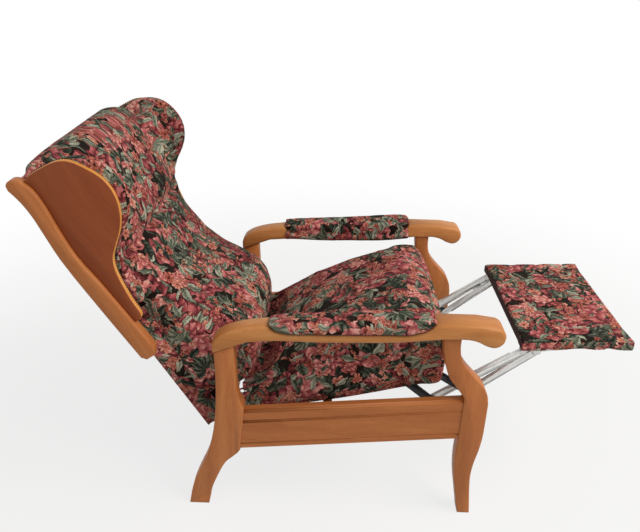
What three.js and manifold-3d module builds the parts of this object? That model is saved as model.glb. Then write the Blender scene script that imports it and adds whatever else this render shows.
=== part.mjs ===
// A wing-back reclining armchair, laid right back with its footrest out.
// Millimetres, +Z up, the sitter faces -Y and the chair is symmetric about X = 0.
// Side views are drawn in (y, z); the seat, the back and the footrest are drawn in
// frames of their own that are hinged to each other.
import * as THREE from "three";
import { mergeVertices } from "three/addons/utils/BufferGeometryUtils.js";
import Module from "manifold-3d";

const wasm = await Module();
wasm.setup();

// Driving dimensions
const overallWidth = 680; // over the fronts of the arms
const armWidth = 66; // at the front
const armTaper = 8; // how much the arm's outer face comes in towards the rear
const legInset = 13; // leg's outer face behind the arm's
const legThickness = 42;
const railInset = 4; // side rail's outer face behind the leg's
const railThickness = 22;
const railHeight = 127.5;
const floorLevel = 8; // the height in these side views that the feet stand at
const railSlope = THREE.MathUtils.degToRad(6);
const postInset = 5; // back post's outer face behind the arm's
const postThickness = 30;
const wingInset = 10; // wing panel's outer face behind the post's
const wingThickness = 18;
const seatSideGap = 33; // between the seat and the legs' inner faces
const skirtThickness = 5;
const seatRailThickness = 24;
const seatRailHeight = 62;
const plateThickness = 3; // every steel plate and link
const runningGap = 0.4; // between links that slide on each other
const pinRadius = 4;
const headRadius = 7.5;
const headThickness = 2.4;
const flangeThickness = 2;
const flangeHeight = 5; // of the outer links' turned-in edges
const pivotRadius = 6; // seat and back hinge pins
const holeClearance = 0.25; // on a pin's radius
const openClearance = 4.4; // on the radius at the two pivots that only rest in their eyes
const seam = 0.3; // between pieces that touch
const backLength = 790; // from the hinge to the top of the posts
const boardDepth = 285; // footrest, front to back
const boardThickness = 12;
const padThickness = 12;
const strapThickness = 3;

// Angles and hinge places at full recline
const seatTilt = THREE.MathUtils.degToRad(14);
const backTilt = THREE.MathUtils.degToRad(30.8);
const boardTilt = THREE.MathUtils.degToRad(3);
const seatOrigin = { y: 245, z: 272 };
const backHinge = { y: 258, z: 296 };
const seatHinge = { y: 150, z: 283 };
const P1 = new THREE.Vector2(-217.7, 430.8);
const P2 = new THREE.Vector2(-152.2, 399.3);
const M = new THREE.Vector2(-328.3, 362.8);
const E = new THREE.Vector2(-361.8, 342.7);
const F = new THREE.Vector2(-259.1, 312.0);
const G = new THREE.Vector2(-485.9, 479.0);
const H = new THREE.Vector2(-522.2, 481.0);

// Lateral layout, from the chair's middle outwards
const armOuter = overallWidth / 2;
const legOuter = armOuter - legInset;
const legInner = legOuter - legThickness;
const railOuter = legOuter - railInset;
const railInner = railOuter - railThickness;
const postOuter = armOuter - postInset;
const postInner = postOuter - postThickness;
const wingOuter = postOuter - wingInset;
const wingInner = wingOuter - wingThickness;
const seatHalf = legInner - seatSideGap;
const seatRailOuter = seatHalf - skirtThickness - seam;
const seatRailInner = seatRailOuter - seatRailThickness;
const plateOuter = seatRailInner - seam;
const layerStep = plateThickness + runningGap;
const layer1 = plateOuter - layerStep; // outer face of the links next to the plate
const layer2 = layer1 - layerStep;
const layer3 = layer2 - layerStep;
const boardHalf = seatHalf - 21;

// Materials
const wood = new THREE.MeshStandardMaterial({ color: 0xb0703c, roughness: 0.42 });
const panelWood = new THREE.MeshStandardMaterial({ color: 0x8c4628, roughness: 0.5 });
const innerWood = new THREE.MeshStandardMaterial({ color: 0xc9a877, roughness: 0.8 });
const steel = new THREE.MeshStandardMaterial({ color: 0xb9bab8, roughness: 0.35, metalness: 0.9 });
const darkSteel = new THREE.MeshStandardMaterial({ color: 0x26262a, roughness: 0.5, metalness: 0.6 });
const fabric = new THREE.MeshStandardMaterial({ color: 0x8a4a4a, roughness: 0.95 });
const lining = new THREE.MeshStandardMaterial({ color: 0x1d1d1f, roughness: 1 });

const P = (y, z) => new THREE.Vector2(y, z);
const lerp = THREE.MathUtils.lerp;
// Drawing plane (u, v) to (y, z), and the extrusion's depth to x
const toSide = new THREE.Matrix4().makeBasis(
  new THREE.Vector3(0, 1, 0), new THREE.Vector3(0, 0, 1), new THREE.Vector3(1, 0, 0));

// A slab whose outline is a side view, from x0 to x1, with rounded edges if bevel is given.
function slab(shape, x0, x1, bevel = 0, bevelSegments = 2, curveSegments = 3) {
  const geometry = new THREE.ExtrudeGeometry(shape, {
    depth: x1 - x0 - 2 * bevel, curveSegments, bevelEnabled: bevel > 0,
    bevelThickness: bevel, bevelSize: bevel, bevelOffset: -bevel, bevelSegments,
  });
  return geometry.translate(0, 0, x0 + bevel).applyMatrix4(toSide);
}

// Rectangular outline.
function boardOf(y0, y1, z0, z1) {
  return new THREE.Shape([P(y0, z0), P(y1, z0), P(y1, z1), P(y0, z1)]);
}

// Points of a smooth line that doesn't overshoot where its control points are unevenly spaced.
function smoothed(points, divisions = 3) {
  const through = points.map((p) => new THREE.Vector3(p.x, p.y, 0));
  const curve = new THREE.CatmullRomCurve3(through, false, "centripetal");
  return curve.getPoints((points.length - 1) * divisions).map((p) => P(p.x, p.y));
}

// Continues an outline smoothly through points.
function smooth(shape, points, divisions = 3) {
  const [, ...rest] = smoothed([shape.currentPoint, ...points], divisions);
  for (const p of rest) shape.lineTo(p.x, p.y);
}

// A strip between two pivots with round ends, the form of a link.
function linkShape(a, b, ra, rb = ra) {
  const angle = Math.atan2(b.y - a.y, b.x - a.x);
  const shape = new THREE.Shape();
  shape.absarc(a.x, a.y, ra, angle + Math.PI / 2, angle + 1.5 * Math.PI);
  shape.absarc(b.x, b.y, rb, angle - Math.PI / 2, angle + Math.PI / 2);
  shape.closePath();
  return shape;
}

function addHole(shape, centre, radius) {
  const hole = new THREE.Path();
  hole.absarc(centre.x, centre.y, radius, 0, 2 * Math.PI, true);
  shape.holes.push(hole);
}

// A solid of manifold-3d from a closed geometry, and back.
function solid(geometry) {
  const bare = new THREE.BufferGeometry();
  const loose = geometry.index ? geometry.toNonIndexed() : geometry;
  bare.setAttribute("position", loose.getAttribute("position"));
  const merged = mergeVertices(bare, 1e-4);
  return new wasm.Manifold(new wasm.Mesh({
    numProp: 3,
    vertProperties: merged.attributes.position.array,
    triVerts: new Uint32Array(merged.index.array),
  }));
}

function geometryOf(manifold) {
  const mesh = manifold.getMesh();
  return new THREE.BufferGeometry()
    .setAttribute("position", new THREE.BufferAttribute(new Float32Array(mesh.vertProperties), 3))
    .setIndex(new THREE.BufferAttribute(new Uint32Array(mesh.triVerts), 1));
}

function joined(...geometries) {
  return geometryOf(geometries.map(solid).reduce((sum, next) => sum.add(next)));
}

function without(geometry, ...tools) {
  return geometryOf(tools.map(solid).reduce((rest, tool) => rest.subtract(tool), solid(geometry)));
}

// A turned pin along x at a place of the side view; its profile is a list of [x, radius].
function turnedPin(centre, profile, sides = 20) {
  const points = [P(0, profile[0][0]), ...profile.map(([x, r]) => P(r, x)), P(0, profile.at(-1)[0])];
  return new THREE.LatheGeometry(points, sides)
    .rotateZ(-Math.PI / 2)
    .translate(0, centre.x, centre.y);
}

// Triangles over a flat ring, turned the way that the ring runs.
function capTriangles(ring) {
  const normal = new THREE.Vector3();
  ring.forEach((p, i) => normal.add(p.clone().cross(ring[(i + 1) % ring.length])));
  const size = normal.toArray().map(Math.abs);
  const drop = size.indexOf(Math.max(...size));
  const flat = ring.map((p) => new THREE.Vector2(...p.toArray().filter((_, axis) => axis !== drop)));
  const wound = THREE.ShapeUtils.isClockWise(flat);
  const turned = (t) => THREE.ShapeUtils.isClockWise(t.map((n) => flat[n])) === wound;
  return THREE.ShapeUtils.triangulateShape(flat, []).map((t) => (turned(t) ? t : t.toReversed()));
}

// A closed skin over rings that all have the same number of points.
function loft(rings) {
  const count = rings[0].length;
  const positions = rings.flat().flatMap((p) => [p.x, p.y, p.z]);
  const index = [];
  for (let r = 0; r + 1 < rings.length; r++)
    for (let i = 0; i < count; i++) {
      const a = r * count + i;
      const b = r * count + ((i + 1) % count);
      index.push(a, b, a + count, b, b + count, a + count);
    }
  for (const [r, flip] of [[0, true], [rings.length - 1, false]])
    for (const [a, b, c] of capTriangles(rings[r])) {
      const [i, j, k] = [a, b, c].map((n) => r * count + n);
      index.push(...(flip ? [k, j, i] : [i, j, k]));
    }
  return new THREE.BufferGeometry()
    .setAttribute("position", new THREE.Float32BufferAttribute(positions, 3))
    .setIndex(index);
}

const chair = new THREE.Group();
const seat = new THREE.Group();
seat.position.set(0, seatOrigin.y, seatOrigin.z);
seat.rotation.x = -seatTilt;
const back = new THREE.Group();
back.position.set(0, backHinge.y, backHinge.z);
back.rotation.x = -backTilt;
const footrest = new THREE.Group();
footrest.position.set(0, G.x, G.y);
footrest.rotation.x = -boardTilt;
chair.add(seat, back, footrest);

function place(name, geometry, material, parent = chair) {
  const mesh = new THREE.Mesh(geometry, material.clone());
  mesh.name = name;
  parent.add(mesh);
  return mesh;
}

// The same piece on both sides; the geometry is the +X one, and the other is its mirror image.
function placePair(name, geometry, material, parent = chair) {
  place(name + "_left", geometry, material, parent);
  place(name + "_right", geometry, material, parent).scale.x = -1;
}

// A place of the side view in a group's own frame, as (local y, local z)
function localTo(origin, tilt, point) {
  const dy = point.x - origin.y;
  const dz = point.y - origin.z;
  return P(dy * Math.cos(tilt) - dz * Math.sin(tilt), dy * Math.sin(tilt) + dz * Math.cos(tilt));
}

// Arms: a bar that bends down over the rear leg and ends in a round nose in front
const armNose = { y: -368, z: 590, radius: 28 };
const armRearY = 314;
const padFront = -226;
const padRear = 176;
const recessFloor = P(-160, 590);
const recessFloorRear = P(128, 577.5);

function armShape() {
  const shape = new THREE.Shape();
  shape.moveTo(armRearY, 513);
  shape.lineTo(armRearY + 1, 538);
  smooth(shape, [P(306, 555), P(288, 569), P(262, 580), P(226, 589), P(padRear, 596)]);
  shape.quadraticCurveTo(padRear - 8, recessFloorRear.y, recessFloorRear.x, recessFloorRear.y);
  shape.lineTo(recessFloor.x, recessFloor.y);
  shape.quadraticCurveTo(padFront + 14, 596, padFront, 622);
  shape.lineTo(-330, 622.5);
  shape.absarc(armNose.y, armNose.z, armNose.radius, 0.62 * Math.PI, 1.5 * Math.PI);
  smooth(shape, [P(-350, 567), P(-330, 577), P(-306, 582.5), P(-244, 581)]);
  smooth(shape, [P(-142, 567), P(-40, 561), P(60, 557), P(150, 556), P(225, 549)]);
  shape.lineTo(armRearY, 513);
  return shape;
}

// Arm's section from inside to outside at a place along its length
function armFaces(y) {
  const t = THREE.MathUtils.clamp((y + 250) / 550, 0, 1);
  const rearInner = legInner - 3;
  return [lerp(armOuter - armWidth, rearInner, t), armOuter - armTaper * t];
}

function fitToArm(geometry, overhang = 0) {
  const position = geometry.getAttribute("position");
  for (let i = 0; i < position.count; i++) {
    const [inner, outer] = armFaces(position.getY(i));
    const t = position.getX(i) / armWidth;
    position.setX(i, lerp(inner - overhang, outer + overhang, t));
  }
  return geometry;
}

function armPadShape() {
  const shape = new THREE.Shape();
  const gap = seam + 0.2;
  shape.moveTo(padRear - gap, 603);
  shape.quadraticCurveTo(padRear - 8, recessFloorRear.y + gap + 1, recessFloorRear.x, recessFloorRear.y + gap);
  shape.lineTo(recessFloor.x, recessFloor.y + gap);
  shape.quadraticCurveTo(padFront + 14 + gap, 597, padFront + gap + 0.3, 624);
  smooth(shape, [P(padFront + 10, 632), P(padFront + 40, 634), P(-20, 621), P(padRear - 40, 609),
    P(padRear - 12, 606)]);
  return shape;
}

placePair("arm", fitToArm(slab(armShape(), 0, armWidth, 7, 2, 4)), wood);
placePair("arm_pad", fitToArm(slab(armPadShape(), 0, armWidth, 5, 2, 2), 2), fabric);

// Side frames: shaped legs under the arms, and a moulded rail between them
const railRear = P(252, 204); // the rail's joint on the rear leg, as a straight line
const railRearTop = P(239.8, 341);
const railFrontY = -322; // the rail's joint on the front leg
const railBottomRear = P(253, 206.5);
const railBottom = (y) => railBottomRear.y + (railBottomRear.x - y) * Math.tan(railSlope);

function frontLegShape() {
  const shape = new THREE.Shape();
  shape.moveTo(-352, floorLevel);
  smooth(shape, [P(-348, 31), P(-337, 88), P(-327, 143), P(-322, 200), P(railFrontY, 250)]);
  shape.lineTo(railFrontY, 400);
  smooth(shape, [P(-313, 414), P(-298, 434), P(-279, 458), P(-265, 492), P(-254, 537),
    P(-249, 581 - seam)]);
  shape.lineTo(-293, 582 - seam);
  smooth(shape, [P(-294, 547), P(-302, 516), P(-317, 492), P(-340, 467), P(-364, 441),
    P(-379, 413), P(-385, 384)]);
  smooth(shape, [P(-386, 330), P(-386, 275), P(-382, 232), P(-375, 190), P(-372, 146),
    P(-375, 101), P(-383, 36), P(-386, floorLevel)]);
  return shape;
}

function rearLegShape() {
  const shape = new THREE.Shape();
  shape.moveTo(396.5, floorLevel);
  smooth(shape, [P(385, 68), P(366, 122), P(340, 186), P(321, 270), P(313, 346), P(310, 433),
    P(312, 513 - seam)]);
  shape.lineTo(262, 533.5 - seam);
  smooth(shape, [P(259, 470), P(257, 400), P(249, 362), P(railRearTop.x, railRearTop.y)]);
  shape.lineTo(railRear.x, railRear.y);
  smooth(shape, [P(268, 184), P(291, 161), P(316, 108), P(333, 60), P(342.5, floorLevel)]);
  return shape;
}

placePair("front_leg", slab(frontLegShape(), legInner, legOuter, 4, 2, 3), wood);
placePair("rear_leg", slab(rearLegShape(), legInner, legOuter, 4, 2, 3), wood);

// The rail's section, as (x, height), with a pair of grooves near the top and one near the bottom
function railSection() {
  const groove = 2.6;
  const out = railOuter;
  return [
    P(railInner, 0), P(out - 4, 0), P(out, 4), P(out, 16), P(out - groove, 18.5), P(out, 21),
    P(out, railHeight - 42), P(out - groove, railHeight - 39.5), P(out, railHeight - 37),
    P(out - groove, railHeight - 34.5), P(out, railHeight - 32), P(out, railHeight - 9),
    P(out - 2, railHeight - 4), P(out - 6, railHeight), P(railInner, railHeight),
  ];
}

// Each end of the rail follows the straight stretch of the leg that it is let into.
function sideRail() {
  const rings = [0, 1].map((end) => railSection().map(({ x, y: h }) => {
    const t = (railBottomRear.y + h - railRear.y) / (railRearTop.y - railRear.y);
    const rear = lerp(railRear.x, railRearTop.x, t) - seam;
    const y = end ? rear : railFrontY + seam;
    return new THREE.Vector3(x, y, railBottom(y) + h);
  }));
  return loft(rings.reverse());
}

placePair("side_rail", sideRail(), wood);

place("rear_cross_rail",
  slab(boardOf(300, 322, 150, 205), seam - legInner, legInner - seam, 2, 1), wood);
place("middle_cross_rail",
  slab(boardOf(10, 34, 238, 292), seam - railInner, railInner - seam, 2, 1), innerWood);

// Seat hinge: a flanged pin on each side rail that carries the seat's steel side plate
const plateInner = plateOuter - plateThickness;
placePair("seat_pivot", turnedPin(P(seatHinge.y, seatHinge.z), [
  [plateInner - seam - 3, 9], [plateInner - seam, 9], [plateInner - seam, pivotRadius],
  [railInner - seam - 5, pivotRadius], [railInner - seam - 5, 17], [railInner - seam, 17],
]), darkSteel);

// Seat, drawn in its own frame: y is minus the distance forward, z the height over its underside
const inSeat = (point) => localTo(seatOrigin, seatTilt, point);
const railBase = 3;
const railTop = railBase + seatRailHeight;
const seatRear = -20;
const frontRailBack = -503;
const frontRailFront = -523;

placePair("seat_side_rail",
  slab(boardOf(frontRailBack + seam, seatRear, railBase, railTop), seatRailInner, seatRailOuter, 2, 1), innerWood, seat);

// The front rail is notched from below where the links swing through it.
function seatFrontRail() {
  const notch = boardOf(frontRailFront - 5, frontRailBack + 5, railBase - 5, railTop - 10);
  const from = layer2 - plateThickness - 3;
  const to = plateOuter + seam;
  const board = slab(boardOf(frontRailFront, frontRailBack, railBase, railTop),
    -seatRailOuter, seatRailOuter, 2, 1);
  return without(board, slab(notch, from, to), slab(notch, -to, -from));
}

place("seat_front_rail", seatFrontRail(), innerWood, seat);
place("seat_rear_rail",
  slab(boardOf(-60, -40, railBase, railTop),
    seam - plateInner, plateInner - seam, 2, 1), innerWood, seat);

// Steel side plate of the mechanism, with the rivets that the footrest's links turn on
function mechanismPlate() {
  const r = inSeat(P(backHinge.y, backHinge.z));
  const s = inSeat(P(seatHinge.y, seatHinge.z));
  const p1 = inSeat(P1);
  const p2 = inSeat(P2);
  const turn = Math.PI / 180;
  const shape = new THREE.Shape();
  shape.absarc(s.x, s.y, 15, 170 * turn, 340 * turn);
  shape.absarc(r.x, r.y, 15, -80 * turn, 95 * turn);
  shape.lineTo(seatRear - 30, 48);
  shape.lineTo(p2.x + 20, 48);
  shape.absarc(p1.x, p1.y, 12, 80 * turn, 250 * turn);
  shape.absarc(p2.x, p2.y, 13, 235 * turn, 285 * turn);
  shape.lineTo(s.x - 60, 10);
  addHole(shape, s, pivotRadius + holeClearance);
  addHole(shape, r, pivotRadius + holeClearance);
  const plate = slab(shape, plateInner, plateOuter, 0, 1, 8);
  const stud = (c) => turnedPin(c, [
    [layer2 - headThickness, headRadius], [layer2, headRadius], [layer2, pinRadius],
    [plateInner + 1, pinRadius],
  ]);
  return joined(plate, stud(p1), stud(p2));
}

placePair("mechanism_plate", mechanismPlate(), darkSteel, seat);

// Sinuous springs from front rail to rear rail, under the cushion
const springCount = 4;
const springRadius = 2;
const springWave = 14;

function seatSpring(x) {
  const bends = 9;
  const z = railTop + seam + springRadius;
  const from = frontRailFront + 8;
  const to = -48;
  const points = [];
  for (let i = 0; i <= bends; i++) {
    const side = i === 0 || i === bends ? 0 : i % 2 ? 1 : -1;
    points.push(new THREE.Vector3(x + side * springWave, lerp(from, to, i / bends), z));
  }
  const wire = new THREE.Shape().absarc(0, 0, springRadius, 0, 2 * Math.PI);
  const path = new THREE.CatmullRomCurve3(points, false, "centripetal");
  return new THREE.ExtrudeGeometry(wire, {
    extrudePath: path, steps: bends * 5, curveSegments: 3, bevelEnabled: false,
  });
}

for (let i = 0; i < springCount; i++) {
  const x = lerp(-0.68, 0.68, i / (springCount - 1)) * seatRailInner;
  place("seat_spring_" + (i + 1), seatSpring(x), darkSteel, seat);
}

const coverRear = -60 - seam;
place("dust_cover",
  slab(boardOf(frontRailBack + seam, coverRear, railBase, railBase + 2), 12 - layer3, layer3 - 12),
  lining, seat);

// Fabric down the sides and the front of the seat frame, cut out where the links come through
function seatSkirt() {
  const front = frontRailFront - seam;
  const side = boardOf(front - skirtThickness, seatRear + 8, 0.5, railTop);
  const from = layer2 - plateThickness - 3;
  const to = plateOuter + seam;
  const slot = boardOf(front - skirtThickness - 5, front + 0.1, -5, 28);
  const drop = slab(boardOf(front - skirtThickness, front, 0.5, railTop), -seatHalf, seatHalf, 2, 1);
  return without(joined(drop, slab(side, seatRailOuter + seam, seatHalf),
    slab(side, -seatHalf, -seatRailOuter - seam)), slab(slot, from, to), slab(slot, -to, -from));
}

place("seat_skirt", seatSkirt(), fabric, seat);

// The cushion's side view, and a crown towards the middle
const cushionBase = railTop + 2 * springRadius + 1;
const crown = 14;

function cushionRing(x) {
  const lift = crown * (1 - (x / seatHalf) ** 2);
  const shape = new THREE.Shape();
  shape.moveTo(-20, cushionBase);
  shape.lineTo(-24, 78);
  smooth(shape, [P(-64, 82 + lift * 0.2), P(-120, 98 + lift * 0.5), P(-200, 130 + lift),
    P(-320, 160 + lift), P(-440, 174 + lift), P(-520, 172 + lift), P(-546, 160 + lift / 2),
    P(-560, 130), P(-558, 90), P(-548, cushionBase)]);
  return shape.extractPoints(1).shape.map((p) => new THREE.Vector3(x, p.x, p.y));
}

function seatCushion() {
  const stations = 9;
  const rings = [];
  for (let i = 0; i < stations; i++) {
    const x = seatHalf * Math.sin(lerp(-0.5, 0.5, i / (stations - 1)) * Math.PI);
    rings.push(cushionRing(x));
  }
  return loft(rings);
}

place("seat_cushion", seatCushion(), fabric, seat);

// Back, drawn in its own frame: z runs up from the hinge, y is minus the distance to the front
const postRear = [P(97.5, 289), P(102, 446), P(103, 595), P(95, 672), P(91, 712), P(92, 750)];
const postFront = [P(58, 779), P(51, 756), P(52, 715), P(60, 661), P(67, 583), P(60.5, 500),
  P(57, 420), P(51, 300)];
const backScale = backLength / 790;
const Q = (y, z) => P(y, z * backScale);
const stretch = (points) => points.map((p) => Q(p.x, p.y));

const postFrontLine = smoothed(stretch(postFront));

// Post: an S-curved bar with a rolled top and its lower corners cut off
function postShape() {
  const shape = new THREE.Shape();
  const [first, ...rest] = stretch(postRear);
  shape.moveTo(first.x, first.y);
  smooth(shape, [...rest, Q(98, 782)]);
  smooth(shape, [Q(94, 795), Q(80, 799), Q(66, 792), Q(58, 779)]);
  for (const p of postFrontLine.slice(1)) shape.lineTo(p.x, p.y);
  shape.lineTo(61, 279 * backScale);
  shape.lineTo(87, 277 * backScale);
  return shape;
}

// Wing: a shaped board whose rear edge lies along the post
function wingShape() {
  const shape = new THREE.Shape();
  const rear = postFrontLine.map((p) => P(p.x - seam, p.y)).filter((p) => p.y > 380 * backScale);
  shape.moveTo(rear[0].x, rear[0].y + 4);
  smooth(shape, [Q(33, 788), Q(4, 788), Q(-29, 785), Q(-55, 773), Q(-82, 737), Q(-97, 705),
    Q(-100, 676), Q(-95, 648), Q(-81, 618), Q(-60, 591), Q(-24, 560)]);
  smooth(shape, [Q(-5, 543), Q(6, 526), Q(15, 500), Q(22, 462), Q(26, 427), Q(27, 391)]);
  smooth(shape, [Q(31, 382), Q(40, 376)]);
  shape.lineTo(rear.at(-1).x, 376 * backScale);
  for (const p of rear.toReversed()) shape.lineTo(p.x, p.y);
  return shape;
}

placePair("back_post", slab(postShape(), postInner, postOuter, 4, 2, 3), wood, back);
placePair("wing_panel", slab(wingShape(), wingInner, wingOuter, 3, 2, 2), panelWood, back);

// Inner frame: two uprights, with rails lapped over them from behind that reach out to the posts
const uprightOuter = layer1 - plateThickness - runningGap;
const uprightInner = uprightOuter - 24;
const uprightFront = 50;
const uprightRear = 70;
const lapFront = uprightRear + seam;
const lapRear = 94;
placePair("back_upright",
  slab(boardOf(uprightFront, uprightRear, 12, 738 * backScale), uprightInner, uprightOuter, 2, 1),
  innerWood, back);
const crossRails = [
  ["back_bottom_rail", 14, 56, uprightOuter],
  ["back_middle_rail", 388 * backScale, 436 * backScale, postInner - seam],
  ["back_top_rail", 692 * backScale, 738 * backScale, postInner - seam],
];
for (const [name, z0, z1, half] of crossRails)
  place(name, slab(boardOf(lapFront, lapRear, z0, z1), -half, half, 2, 1), innerWood, back);

// Steel arm from each upright to the hinge pin at the seat's rear
const backPlateOuter = plateInner - runningGap;
const backPlateInner = backPlateOuter - plateThickness;

function backHingeArm() {
  const shape = new THREE.Shape();
  const turn = Math.PI / 180;
  shape.absarc(0, 0, 15, 160 * turn, 310 * turn);
  shape.lineTo(uprightRear - 1, 20);
  shape.lineTo(uprightRear - 1, 150);
  shape.lineTo(uprightFront + 1, 150);
  shape.lineTo(uprightFront + 1, 60);
  const plate = slab(shape, backPlateInner, backPlateOuter, 0, 1, 8);
  const pin = turnedPin(P(0, 0), [
    [backPlateInner + 1, pivotRadius], [plateOuter + seam, pivotRadius],
    [plateOuter + seam, 9], [plateOuter + seam + 2.5, 9],
  ]);
  return joined(plate, pin);
}

placePair("back_hinge_arm", backHingeArm(), darkSteel, back);

// Webbing across the uprights behind the padding
const webCount = 4;
for (let i = 0; i < webCount; i++) {
  const z = lerp(120, 620, i / (webCount - 1)) * backScale;
  const front = uprightFront - seam;
  place("back_web_" + (i + 1),
    slab(boardOf(front - strapThickness, front, z, z + 60), -uprightOuter + 2, uprightOuter - 2),
    lining, back);
}

// Fabric over the outside of the back: wide between the posts, narrower between the rear legs,
// with returns that close the sides of the frame
const coverFront = lapRear + seam;
const coverThickness = 5;
const lowerBackHalf = seatHalf + 10;

function outsideBack() {
  const wide = postInner - 4;
  const narrow = lowerBackHalf;
  const low = 380 * backScale;
  const top = slab(boardOf(coverFront, coverFront + coverThickness, low - 90, 778 * backScale),
    -wide, wide, 1, 1);
  const bottom = slab(boardOf(coverFront, coverFront + coverThickness, -8, low), -narrow, narrow, 1, 1);
  const side = boardOf(uprightFront - strapThickness, coverFront + 2, -6, low);
  return joined(top, bottom, slab(side, narrow - 5, narrow - 1), slab(side, 1 - narrow, 5 - narrow));
}

place("outside_back", outsideBack(), fabric, back);

// Padding as lofts of rounded sections: each station is [z, half width, front, rear]
function padding(stations, crownBy) {
  const corners = 24;
  const rings = stations.map(([z, half, front, rear]) => {
    const ring = [];
    for (let i = 0; i < corners; i++) {
      const angle = (2 * Math.PI * (i + 0.5)) / corners;
      const power = 0.42;
      const c = Math.sign(Math.cos(angle)) * Math.abs(Math.cos(angle)) ** power;
      const s = Math.sign(Math.sin(angle)) * Math.abs(Math.sin(angle)) ** power;
      const x = half * c;
      const bulge = s < 0 ? crownBy * (1 - c * c) : 0;
      ring.push(new THREE.Vector3(x, lerp(front, rear, (s + 1) / 2) - bulge, z));
    }
    return ring;
  });
  return loft(rings);
}

const webFront = uprightFront - strapThickness - 2 * seam;
const backHalf = lowerBackHalf - 2;
const headHalf = wingInner - 26;
place("back_cushion", padding([
  [62, backHalf - 22, -54, webFront], [74, backHalf - 6, -82, webFront], [110, backHalf, -101, webFront],
  [155, backHalf, -106, webFront], [200, backHalf, -99, webFront], [250, backHalf, -76, webFront],
  [300, backHalf, -46, webFront], [360, backHalf, -18, webFront],
  [430 * backScale, backHalf, -6, webFront], [496 * backScale, backHalf - 4, -2, webFront],
  [510 * backScale, backHalf - 12, 12, webFront],
], 18), fabric, back);
place("head_cushion", padding([
  [514 * backScale, headHalf - 12, 10, webFront], [528 * backScale, headHalf - 2, -12, webFront],
  [580 * backScale, headHalf, -24, webFront], [680 * backScale, headHalf, -26, webFront],
  [740.5 * backScale, headHalf, -20, webFront], [742 * backScale, headHalf, -20, lapRear],
  [776 * backScale, headHalf, -8, lapRear], [792 * backScale, headHalf - 4, 12, lapRear],
  [802 * backScale, headHalf - 16, 38, lapRear - 10],
], 18), fabric, back);

function wingCushionShape() {
  const shape = new THREE.Shape();
  shape.moveTo(40, 400 * backScale);
  shape.lineTo(40, 784 * backScale);
  smooth(shape, [Q(5, 786), Q(-32, 780), Q(-72, 765), Q(-100, 745), Q(-117, 718), Q(-124, 686),
    Q(-120, 653), Q(-106, 622), Q(-78, 591), Q(-38, 559), Q(-20, 541), Q(-3, 515), Q(11, 485),
    Q(16, 450), Q(16, 404)]);
  return shape;
}

placePair("wing_cushion", slab(wingCushionShape(), wingInner - 24, wingInner - seam, 6, 2, 1), fabric, back);

// Footrest: links of a lazy tong on each side, and an upholstered board on two brackets
function link(outer, a, b, radius, holes, ...studs) {
  const shape = linkShape(a, b, radius);
  for (const [centre, r] of holes) addHole(shape, centre, r);
  const bar = slab(shape, outer - plateThickness, outer, 0, 1, 7);
  return studs.length ? joined(bar, ...studs) : bar;
}

// Turned-in edges that make a channel of a link, between two distances along it
function flanges(outer, a, b, radius, from, to) {
  const run = b.clone().sub(a).normalize();
  const side = P(-run.y, run.x);
  const at = (d, s) => a.clone().addScaledVector(run, d).addScaledVector(side, s);
  return [-1, 1].map((hand) => {
    const [near, far] = [hand * (radius - flangeThickness), hand * radius];
    const strip = new THREE.Shape([at(from, near), at(to, near), at(to, far), at(from, far)]);
    return slab(strip, outer - plateThickness - flangeHeight, outer - 0.5);
  });
}

// A rivet through the next layer out (or in), with its head beyond that layer
const rivetOut = (centre, outer, head = headRadius, r = pinRadius) => turnedPin(centre, [
  [outer - 1, r], [outer + layerStep + runningGap, r], [outer + layerStep + runningGap, head],
  [outer + layerStep + runningGap + headThickness, head],
]);
const rivetIn = (centre, inner, head, r) => turnedPin(centre, [
  [inner - layerStep - runningGap - headThickness, head], [inner - layerStep - runningGap, head],
  [inner - layerStep - runningGap, r], [inner + 1, r],
]);
const closeHole = pinRadius + holeClearance;
const openPin = 3.2;
const openHole = openPin + openClearance;
const openHead = openHole + 3;
const openEye = openHole + 4.4;

placePair("link_a", link(layer1, P1, E, 11, [[P1, closeHole], [M, closeHole], [E, closeHole]]), darkSteel);
placePair("link_b", link(layer1, P2, F, 12, [[P2, closeHole]],
  rivetIn(F, layer1 - plateThickness, openHead, openPin)), darkSteel);
const wide = openEye;
const slim = openEye - 2;
const reach = (a, b) => a.distanceTo(b);
placePair("link_c", link(layer2, F, G, wide, [[F, openHole], [G, closeHole]], rivetOut(M, layer2),
  ...flanges(layer2, F, G, wide, reach(F, M) + 20, reach(F, G) - 32)), steel);
placePair("link_d", link(layer2, E, H, slim, [[H, openHole]], rivetOut(E, layer2),
  ...flanges(layer2, E, H, slim, 20, reach(E, H) - 34)), steel);

// Bracket: an upright web that carries two pins, with a foot under the board
const inBoard = (point) => localTo({ y: G.x, z: G.y }, boardTilt, point);
const boardBase = 14;

function footrestBracket() {
  const g = inBoard(G);
  const h = inBoard(H);
  const turn = Math.PI / 180;
  const shape = new THREE.Shape();
  shape.moveTo(8, boardBase - seam);
  shape.lineTo(-150, boardBase - seam);
  shape.lineTo(-150, boardBase - 8);
  shape.absarc(h.x, h.y, 11, 200 * turn, 270 * turn);
  shape.absarc(g.x, g.y, 11, 270 * turn, 360 * turn);
  const web = slab(shape, layer3 - plateThickness, layer3, 0, 1, 6);
  const foot = slab(boardOf(-150, 8, boardBase - seam - plateThickness, boardBase - seam),
    layer3 - 26, layer3 - 1);
  return joined(web, foot, rivetOut(g, layer3), rivetOut(h, layer3, openHead, openPin));
}

placePair("footrest_bracket", footrestBracket(), steel, footrest);


place("footrest_board", slab(boardOf(8 - boardDepth, 8, boardBase, boardBase + boardThickness),
  -boardHalf + 3, boardHalf - 3, 3, 2), innerWood, footrest);
const padBase = boardBase + boardThickness + seam;
place("footrest_pad", slab(boardOf(6 - boardDepth, 10, padBase, padBase + padThickness),
  -boardHalf, boardHalf, 5, 3), fabric, footrest);

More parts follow.
